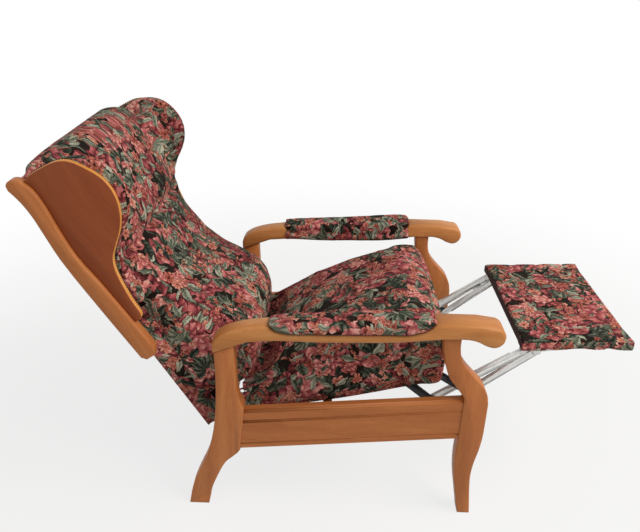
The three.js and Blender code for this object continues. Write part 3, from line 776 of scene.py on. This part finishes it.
def spaced(points, step):
    """The same polyline, with a point at every step along it."""
    points = np.array([tuple(p) for p in points])
    lengths = np.concatenate([[0], np.cumsum(np.linalg.norm(np.diff(points, axis=0), axis=1))])
    at = np.arange(step / 2, lengths[-1], step)
    return [Vector(p) for p in np.stack([np.interp(at, lengths, points[:, i]) for i in range(3)], 1)]


def piping(name, points, radius):
    """A round cord along a line of points, as a mesh object."""
    curve = bpy.data.curves.new(name, "CURVE")
    curve.dimensions = "3D"
    spline = curve.splines.new("POLY")
    spline.points.add(len(points) - 1)
    for spot, point in zip(spline.points, points):
        spot.co = (*point, 1)
    curve.bevel_depth = radius
    curve.bevel_resolution = 2
    curve.use_fill_caps = True
    drawn = linked(name, curve)
    graph = bpy.context.evaluated_depsgraph_get()
    mesh = bpy.data.meshes.new_from_object(drawn.evaluated_get(graph))
    bpy.data.objects.remove(drawn)
    return linked(name, mesh)


def knots(name, rows, radius, body):
    """Small dark knots of a braid along rows of points."""
    bm = bmesh.new()
    for row in rows:
        for point in row:
            bmesh.ops.create_uvsphere(bm, u_segments=8, v_segments=5, radius=radius,
                                      matrix=Matrix.Translation(point))
    finished(name, bm, TRIM, body, crisp=80)
    print(name, "knots", sum(len(row) for row in rows))


# %% [markdown]
# A few shapes serve several pads: a slab pulled from a side view, a block that is joined to a form
# or cut out of a piece, and a bend given as a function of place. All are drawn in a hinged frame.

# %%
# Slabs, blocks and bends


def share(value):
    """A value held between 0 and 1."""
    return max(0, min(1, value))


def rounded(value, middle, reach):
    """A smooth hump: 1 at the middle, near 0 past twice the reach."""
    return math.exp(-((value - middle) / reach) ** 2)


def slab_from(side, half, place, sections=12):
    """A closed bmesh: a side view pulled across the width, and put in a hinged frame."""
    bm = bmesh.new()
    corners = [bm.verts.new((-half, y, z)) for y, z in side]
    face = bm.faces.new(corners)
    pulled = bmesh.ops.extrude_face_region(bm, geom=[face])
    moved = [v for v in pulled["geom"] if isinstance(v, bmesh.types.BMVert)]
    bmesh.ops.translate(bm, verts=moved, vec=(2 * half, 0, 0))
    bmesh.ops.recalc_face_normals(bm, faces=bm.faces)
    for i in range(1, sections):
        x = half * (2 * i / sections - 1)
        bmesh.ops.bisect_plane(bm, geom=bm.verts[:] + bm.edges[:] + bm.faces[:],
                               plane_co=(x, 0, 0), plane_no=(1, 0, 0))
    bmesh.ops.triangulate(bm, faces=[f for f in bm.faces if len(f.verts) > 4])
    bmesh.ops.transform(bm, matrix=place, verts=bm.verts)
    return bm


def reshape(piece, place, move):
    """Moves each vertex by a function of its place in a hinged frame."""
    inverse = place.inverted()
    for v in piece.data.vertices:
        v.co = place @ move(inverse @ v.co)


def block_into(bm, place, half, y0, y1, z0, z1):
    """Adds a block to a form, centred across and between the given places."""
    made = bmesh.ops.create_cube(bm, size=1)
    size = Matrix.Diagonal((2 * half, y1 - y0, z1 - z0, 1))
    middle = Matrix.Translation((0, (y0 + y1) / 2, (z0 + z1) / 2))
    bmesh.ops.transform(bm, matrix=place @ middle @ size, verts=made["verts"])


def cut_away(piece, place, half, y0, y1, z0, z1):
    """Takes a block out of a piece."""
    bm = bmesh.new()
    block_into(bm, place, half, y0, y1, z0, z1)
    block = blank("block", bm)
    cut = piece.modifiers.new("cut", "BOOLEAN")
    cut.operation = "DIFFERENCE"
    cut.solver = "EXACT"
    cut.object = block
    apply_modifiers(piece)
    bpy.data.objects.remove(block)


# %% [markdown]
# The seat is a foam pad on springs, covered in one piece that runs over the top and down the
# front, with side panels sewn on. It is high in front and falls away to the back. Its side view
# is drawn as an outline, pulled across the width, and crowned. Its underside and rear are open,
# because the steel links fold up into it and the back's hinge turns behind it, and a tab of cloth
# at the rear of each side covers that hinge.

# %%
# Seat
SEAT_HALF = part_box("seat_cushion")[1].x
SEAT_SIDE = [(-0.014, -0.020), (-0.528, -0.020), (-0.543, 0.028), (-0.556, 0.062), (-0.561, 0.112),
             (-0.556, 0.146), (-0.538, 0.168), (-0.500, 0.178), (-0.430, 0.177), (-0.330, 0.166),
             (-0.220, 0.142), (-0.130, 0.112), (-0.060, 0.088), (-0.020, 0.080), (-0.012, 0.066)]
SEAT_CROWN, FRONT_SWELL, TUCK, HEM_SAG = 0.012, 0.006, 0.012, 0.006
SEAT_WALL, PAD_UNDERSIDE = 0.0050, 0.0665


def seat_crown(p):
    """Raises the middle of the top, swells the front, and draws the sides in below."""
    across = 1 - min(1, abs(p.x) / SEAT_HALF) ** 2.2
    top = share((p.z - 0.05) / 0.05)
    front = share((-p.y - 0.50) / 0.05) * FRONT_SWELL * across
    return Vector((p.x * (1 - TUCK * (1 - top)), p.y - front, p.z + SEAT_CROWN * across * top))


TAB = [(-0.008, 0.079), (0.007, 0.082), (0.026, 0.079), (0.043, 0.069), (0.055, 0.054),
       (0.061, 0.036), (0.062, 0.015), (0.058, -0.020)]
seat_cover = blank("seat_cover", slab_from(SEAT_SIDE[:-1] + TAB, SEAT_HALF + 0.004, SEAT))
even_mesh(seat_cover, VOXEL)
reshape(seat_cover, SEAT, seat_crown)
relax(seat_cover, 5)
stuff(seat_cover, 4.0, 0.007)
hollow_half = SEAT_HALF - SEAT_WALL
cut_away(seat_cover, SEAT, hollow_half, -0.5232, -0.008, -0.05, PAD_UNDERSIDE)
cut_away(seat_cover, SEAT, hollow_half, -0.0115, 0.2, -0.05, 0.2)
cut_away(seat_cover, SEAT, SEAT_HALF + 0.1, -0.7, 0.1, -0.1, 0.0003)


def seat_hem(p):
    """Lets the lower edge of each side hang a little between the front and the rear."""
    sag = math.sin(math.pi * share((-p.y - 0.03) / 0.50)) ** 2
    return Vector((p.x, p.y, p.z - HEM_SAG * sag * max(0, 1 - p.z / 0.05)))


reshape(seat_cover, SEAT, seat_hem)
print("seat half width", round(SEAT_HALF, 4), "points", len(seat_cover.data.vertices))

# %% [markdown]
# The back is one stuffed landscape: a full lumbar roll below, a crease at the waist where the
# wings start, a head roll above it that turns over the top of the frame, and padded wings at
# both sides. Separate cushions would meet in sharp slits, which the real cover doesn't have. So the
# plain solids of these pads are joined with two blocks that fill the back's depth and a wedge in
# the corner between the head roll and each wing. The sum is rebuilt as one even mesh and softened,
# so that the valleys between them round off.

# %%
# Form of the back
back_form = bmesh.new()
for node in ("back_cushion", "head_cushion", "wing_cushion_left", "wing_cushion_right"):
    back_form.from_mesh(nodes[node].data)
bmesh.ops.remove_doubles(back_form, verts=back_form.verts, dist=1e-5)
FILLING_REAR = 0.0865
block_into(back_form, BACK, 0.2595, 0.02, FILLING_REAR, 0.075, 0.42)
block_into(back_form, BACK, 0.298, 0.018, FILLING_REAR, 0.41, 0.786)
WEDGE_PLACE, WEDGE_SIZE = (0.247, -0.033, 0.668), (0.06, 0.06, 0.13, 1)
for hand in SIDES.values():
    x, y, z = WEDGE_PLACE
    slope = Matrix.Translation((hand * x, y, z)) @ Matrix.Rotation(TAU / 8, 4, "Z")
    wedge = bmesh.ops.create_cube(back_form, size=1)
    bmesh.ops.transform(back_form, matrix=BACK @ slope @ Matrix.Diagonal(WEDGE_SIZE),
                        verts=wedge["verts"])
back_cover = blank("back_cover", back_form)
even_mesh(back_cover, VOXEL)
relax(back_cover, 5)
print("back form points", len(back_cover.data.vertices))

# %% [markdown]
# The softening takes most off the two rolls, so they get their fullness back first. Then the cover
# is drawn in at the waist, where upholsterers pull it down with a few stitches and folds fan out
# from each. A wave round each stitch that dies away with distance gives those folds, and the
# stuffing makes them soft.

# %%
# Rolls, waist and stuffing of the back
LUMBAR_SWELL, HEAD_SWELL = 0.013, 0.007
WAIST, STITCHES = 0.520, (-0.245, 0.0, 0.245)
CREASE_DEPTH, STITCH_DEPTH, FOLD_DEPTH, FOLDS = 0.010, 0.011, 0.0022, 7


def fuller(p):
    """Swells the lumbar roll forwards and the head roll upwards."""
    front = share((0.05 - p.y) / 0.06)
    inside = share((0.25 - abs(p.x)) / 0.03)
    lumbar = LUMBAR_SWELL * rounded(p.z, 0.17, 0.08) * front * inside
    head = HEAD_SWELL * share((p.z - 0.69) / 0.07)
    return Vector((p.x, p.y - lumbar, p.z + head))


reshape(back_cover, BACK, fuller)


def waist(p):
    """Draws the cover in along the crease under the head roll, deepest at three pulled places."""
    if p.y > 0.045:
        return p
    across = max(0, 1 - (p.x / 0.29) ** 2) ** 0.5
    crease = CREASE_DEPTH * rounded(p.z, WAIST, 0.020) * across
    for x in STITCHES:
        side, rise = p.x - x, p.z - WAIST
        reach = math.hypot(side, rise)
        fan = FOLD_DEPTH * math.cos(FOLDS * math.atan2(rise, side))
        crease += STITCH_DEPTH * rounded(reach, 0, 0.024) + fan * math.exp(
            -(reach - 0.03) ** 2 / 0.0008)
    return Vector((p.x, p.y + crease, p.z))


reshape(back_cover, BACK, waist)
stuff(back_cover, 4.0, 0.007)
relax(back_cover, 1)
clothed(back_cover, "back", "back_cushion", "head_cushion", "wing_cushion_left",
        "wing_cushion_right", fill=0.75)
BACK_SIDE = [(0.09, 0.06), (-0.04, 0.05), (-0.11, 0.10), (-0.12, 0.16), (-0.10, 0.22),
             (-0.05, 0.30), (-0.02, 0.40), (0.0, 0.51), (-0.03, 0.57), (-0.04, 0.68),
             (-0.02, 0.76), (0.04, 0.79), (0.09, 0.78)]
lay_cloth(back_cover, BACK, BACK_SIDE, seed=1.13)
print("back faces", len(back_cover.data.polygons))

# %% [markdown]
# The seat has to leave room for the back at every angle. The back's finished surface is swung in
# steps from laid back to upright, and each point of the seat's cover that lies inside it is
# pressed out of it, so that the seat has a soft hollow where the back's lower roll sinks in. One
# pass leaves slivers between neighbouring points, so three passes widen the gap a little each.

# %%
# Room for the back
BACK_ANGLES = (0, 5, 10, 15, 19)
ROOM = (0.0015, 0.0020, 0.0022)


def make_room(piece, other, hinge, angles, gap):
    """Presses a piece's points out of another piece that swings about the hinge's x axis."""
    pressed = 0
    for angle in angles:
        turn = hinge @ Matrix.Rotation(math.radians(angle), 4, "X") @ hinge.inverted()
        swung = other.data.copy()
        swung.transform(turn)
        tree = tree_of(swung)
        for v in piece.data.vertices:
            near, normal, _, reach = tree.find_nearest(v.co, 0.03)
            if near and (reach < gap or (v.co - near).dot(normal) < 0):
                v.co = near + normal * gap
                pressed += 1
        bpy.data.meshes.remove(swung)
    return pressed


for gap in ROOM:
    print("points pressed", make_room(seat_cover, back_cover, BACK, BACK_ANGLES, gap))
    if gap == ROOM[0]:
        relax(seat_cover, 1, 0.3)

# %% [markdown]
# The seat's top and side panels are joined with a thin piping. Each point of the side view is moved
# out to the seat's corner and then put on the nearest place of the stuffed surface.

# %%
# Cloth and piping of the seat
PIPING_RADIUS = 0.0024
clothed(seat_cover, "seat", "seat_cushion", "seat_skirt", fill=0.7)
lay_cloth(seat_cover, SEAT, SEAT_SIDE[1:], seed=0.37)
print("seat faces", len(seat_cover.data.polygons))

seat_surface = tree_of(seat_cover.data)
for side, hand in SIDES.items():
    edge = []
    for y, z in SEAT_SIDE[2:]:
        out = Vector((0, y + 0.30, z - 0.06)).normalized() * 0.012
        near = SEAT @ Vector((hand * (SEAT_HALF + 0.012), y + out.y, z + out.z + 0.004))
        edge.append(seat_surface.find_nearest(near)[0])
    welt = piping(f"seat_piping_{side}", spaced(edge, 0.012), PIPING_RADIUS)
    clothed(welt, "seat", fill=0.2)
    lay_cloth(welt, SEAT, SEAT_SIDE[1:], seed=0.37, side_slant=2.0)

# %% [markdown]
# A braid with small knots covers the line where the cloth meets the front edge of each wing
# board. Its line is found with rays cast at the board from the front and, near the top, from above.

# %%
# Braid along the wing boards
BRAID_OUT, WING_KNOT, WING_KNOT_STEP = 0.0035, 0.0024, 0.0065


def braid_line(board, inner, starts, way):
    """Points where rays in the back's frame meet the board, moved to the braid's place."""
    across = inner + math.copysign(BRAID_OUT, inner)
    hits = [board.ray_cast(BACK @ Vector(start), BACK.to_3x3() @ Vector(way))[0] for start in starts]
    return [Vector((across, hit.y, hit.z)) for hit in hits if hit]


rows = []
for side in SIDES:
    board = tree_of(nodes[f"wing_panel_{side}"].data)
    low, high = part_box(f"wing_panel_{side}")
    inner = min(low.x, high.x, key=abs)
    middle = (low.x + high.x) / 2
    before = [(middle, -0.6, 0.385 + 0.0095 * i) for i in range(40)]
    row = braid_line(board, inner, before, (0, 1, 0))
    reach = (BACK.inverted() @ row[-1]).y
    above = [(middle, reach + 0.0085 * i, 1.2) for i in range(1, 16)]
    row += braid_line(board, inner, above, (0, 0, -1))
    rows.append(spaced(row, WING_KNOT_STEP))
knots("wing_braid", rows, WING_KNOT, "back")

# %% [markdown]
# The outside of the back is one plain panel of the same cloth, stretched over the frame between
# the posts. The model's thin panel has the right place and edges, so it is only made a little
# fuller below the posts, where the padding behind it pushes it out.

# %%
# Outside of the back
outside = finished("outside_panel", bare_copy("outside_back"), TAPESTRY, "back",
                   crisp=40)


def full_below(p):
    low = share((0.40 - p.z) / 0.10) * share((p.y - 0.088) / 0.004)
    return Vector((p.x * (1 + 0.012 * low), p.y + 0.008 * low, p.z))


reshape(outside, BACK, full_below)
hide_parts("outside_back")
lay_cloth(outside, BACK, [(0.09, -0.02), (0.09, 0.80)], seed=2.31)
print("outside faces", len(outside.data.polygons))

# %% [markdown]
# Arm pads are small stuffed caps let into the arms, and their cloth is turned down the arm's inner
# side. So the pad's plain solid is joined with a slice of the arm, cut out with three planes and
# shifted inwards, and the two are stuffed as one. A braid of small knots runs along the pad's outer
# edge, at the height where its underside meets the arm.

# %%
# Arm pads
CLOTH_SEED = {"left": 0.91, "right": 1.57}
PAD_END, PADDING_IN, PADDING_DOWN = 0.003, 0.0045, 0.0025
ARM_KNOT, ARM_KNOT_STEP, ARM_RAYS = 0.0019, 0.0050, 60
rows = []
for side, hand in SIDES.items():
    low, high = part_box(f"arm_pad_{side}")
    middle = (low.x + high.x) / 2
    form = bare_copy(f"arm_pad_{side}")
    wrap = bare_copy(f"arm_{side}")
    for place, normal in (((0, low.y + PAD_END, 0), (0, -1, 0)),
                          ((0, high.y - PAD_END, 0), (0, 1, 0)), ((middle, 0, 0), (hand, 0, 0))):
        cut = bmesh.ops.bisect_plane(wrap, geom=wrap.verts[:] + wrap.edges[:] + wrap.faces[:],
                                     plane_co=place, plane_no=normal, clear_outer=True)
        rim = [e for e in cut["geom_cut"] if isinstance(e, bmesh.types.BMEdge)]
        bmesh.ops.contextual_create(wrap, geom=rim)
    bmesh.ops.translate(wrap, verts=wrap.verts, vec=(-hand * PADDING_IN, 0, -PADDING_DOWN))
    wrap_mesh = bpy.data.meshes.new("wrap")
    wrap.to_mesh(wrap_mesh)
    wrap.free()
    form.from_mesh(wrap_mesh)
    bpy.data.meshes.remove(wrap_mesh)
    pad = blank(f"arm_cap_{side}", form)
    even_mesh(pad, FINE_VOXEL)
    relax(pad, 3)
    stuff(pad, 3.0, 0.004)
    clothed(pad, "base", f"arm_pad_{side}", fill=0.6)
    lay_cloth(pad, Matrix.Identity(4), [(-0.3, 0.6), (0.3, 0.6)], seed=CLOTH_SEED[side],
              side_slant=0.6)
    plain, filled = tree_of(nodes[f"arm_pad_{side}"].data), tree_of(pad.data)
    row = []
    for i in range(ARM_RAYS):
        y = low.y + PAD_END + (high.y - low.y - 2 * PAD_END) * i / (ARM_RAYS - 1)
        edge = plain.ray_cast(Vector((hand * 0.6, y, 0.592)), Vector((-hand, 0, 0)))[0]
        start = Vector(((edge.x if edge else middle) - hand * 0.007, y, 0.3))
        under = plain.ray_cast(start, Vector((0, 0, 1)))[0]
        outer = under and filled.ray_cast(Vector((hand * 0.6, y, under.z + 0.003)),
                                          Vector((-hand, 0, 0)))[0]
        if outer:
            row.append(outer)
    rows.append(spaced(row, ARM_KNOT_STEP))
knots("arm_braid", rows, ARM_KNOT, "base")

# %% [markdown]
# The footrest's pad is a flat one that wraps its board, with a dark band along the edge nearest to
# the seat. It is stuffed as a whole block first, and the board's room is cut out afterwards, so
# that its edges stay full. Under the springs, the model's own sheet is the stretched lining.

# %%
# Footrest pad and the lining under the seat
board_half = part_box("footrest_board")[1].x
form = bmesh.new()
block_into(form, BOARD, board_half + 0.003, -0.279, 0.010, 0.010, 0.037)
foot_pad = blank("foot_cushion", form)
even_mesh(foot_pad, FINE_VOXEL)
relax(foot_pad, 3)
stuff(foot_pad, 3.0, 0.003)
cut_away(foot_pad, BOARD, board_half + 0.0003, -0.2773, 0.0083, -0.02, 0.0263)
cut_away(foot_pad, BOARD, 0.4, -0.4, 0.2, -0.02, 0.0125)
clothed(foot_pad, "footrest", "footrest_pad", fill=0.5)
foot_pad.data.materials.append(TRIM)
for face in foot_pad.data.polygons:
    face.material_index = int((BOARD.inverted().to_3x3() @ face.normal).y > 0.75)
OVER_THE_BOARD = [(-0.282, 0.0), (-0.282, 0.040), (0.013, 0.040), (0.013, 0.0)]
lay_cloth(foot_pad, BOARD, OVER_THE_BOARD, seed=0.53)
print("footrest faces", len(foot_pad.data.polygons))

dust_cover = dress("dust_cover", LINING, "seat")
low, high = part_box("dust_cover")

# %% [markdown]
# Soft light comes from a wide lamp above and in front of the chair, from a weak one behind the
# camera, and from the room all round. The room is white to the camera and in reflections, but
# lights the chair only about a third as strongly, so that its colours aren't washed out.

# %%
# Lamps and room
CHAIR_MIDDLE = Vector((0, 0, 0.5))
ROOM_LIGHT = 0.36


def lamp(name, place, size, watts, colour):
    """A square lamp, aimed at the middle of the chair."""
    made = linked(name, bpy.data.lights.new(name, "AREA"))
    made.data.size = size
    made.data.energy = watts
    made.data.color = colour
    made.location = place
    made.rotation_euler = (CHAIR_MIDDLE - Vector(place)).to_track_quat("-Z", "Y").to_euler()
    print(name, "lamp", watts, "W")


lamp("key", (-1.0, -2.3, 2.9), 2.2, 104, (1.0, 0.97, 0.92))
lamp("fill", (-2.6, 1.8, 2.0), 2.5, 14, (1.0, 0.98, 0.95))

world = bpy.data.worlds.new("room")
bpy.context.scene.world = world
world.use_nodes = True
room = Pen(world.node_tree)
background = world.node_tree.nodes["Background"]
seen = room.node("ShaderNodeLightPath")
direct = room.math("MAXIMUM", seen.outputs["Is Camera Ray"], room.math(
    "MAXIMUM", seen.outputs["Is Glossy Ray"], seen.outputs["Is Transmission Ray"]))
room.put(background.inputs["Strength"], room.plus(ROOM_LIGHT, room.times(direct, 1 - ROOM_LIGHT)))
background.inputs["Color"].default_value = (1, 1, 1, 1)

# %% [markdown]
# The floor is pale and catches the chair's shadow. Part of it is plain white to the camera, more so
# further out, so that it runs into the white of the room without a line.

# %%
# Floor
NEAR_WHITE = 0.78
floor_form = bmesh.new()
bmesh.ops.create_grid(floor_form, x_segments=1, y_segments=1, size=40)
floor = blank("floor", floor_form)
floor_made, pen, shader = material("pale_floor", roughness=0.9)
shader.inputs["Base Color"].default_value = (0.6, 0.59, 0.57, 1)
white = pen.node("ShaderNodeEmission")
path = pen.node("ShaderNodeLightPath")
spot = pen.vector("LENGTH", pen.node("ShaderNodeTexCoord").outputs["Object"])
far = pen.plus(NEAR_WHITE, pen.times(pen.step(spot, 0.9, 2.6), 1 - NEAR_WHITE))
direct = pen.math("MAXIMUM", path.outputs["Is Camera Ray"], path.outputs["Is Glossy Ray"])
blend = pen.fed("ShaderNodeMixShader", pen.times(far, direct), shader.outputs[0],
                white.outputs[0])
pen.put(floor_made.node_tree.nodes["Material Output"].inputs[0], blend.outputs[0])
floor.data.materials.append(floor_made)
floor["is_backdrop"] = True
bpy.context.scene.view_settings.view_transform = "Standard"
print("floor white to the camera", NEAR_WHITE, "near the chair")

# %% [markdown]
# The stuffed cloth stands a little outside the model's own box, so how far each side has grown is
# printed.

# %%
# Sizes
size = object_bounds()
grown = [round((b - a) * 1000, 1) for a, b in zip([*cad_box[0], *cad_box[1]], [*size[0], *size[1]])]
print("visual box against CAD box, mm", grown)
